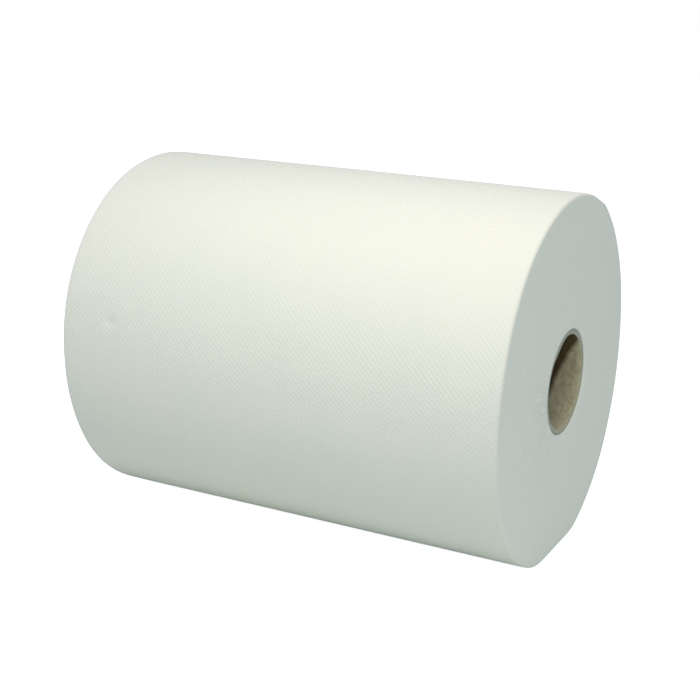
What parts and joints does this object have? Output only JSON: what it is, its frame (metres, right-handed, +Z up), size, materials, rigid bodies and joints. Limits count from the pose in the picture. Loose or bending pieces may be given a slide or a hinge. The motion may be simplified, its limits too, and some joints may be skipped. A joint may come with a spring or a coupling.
{
  "type": "paper towel roll",
  "caption": "Wide roll of dot-embossed white paper towel wound on a cardboard core, lying on its side on a small flat spot.",
  "frame": {"origin": "on the resting surface, under the middle of the roll", "axes": "+X along the roll's axis, towards the end that the picture shows; +Z up"},
  "size_m": [0.2, 0.1575, 0.154],
  "materials": {
    "embossed_paper": "matte",
    "core_board": "matte"
  },
  "bodies": {
    "root": {"wound_paper": "embossed_paper", "core_tube": "core_board"}
  },
  "joints": []
}
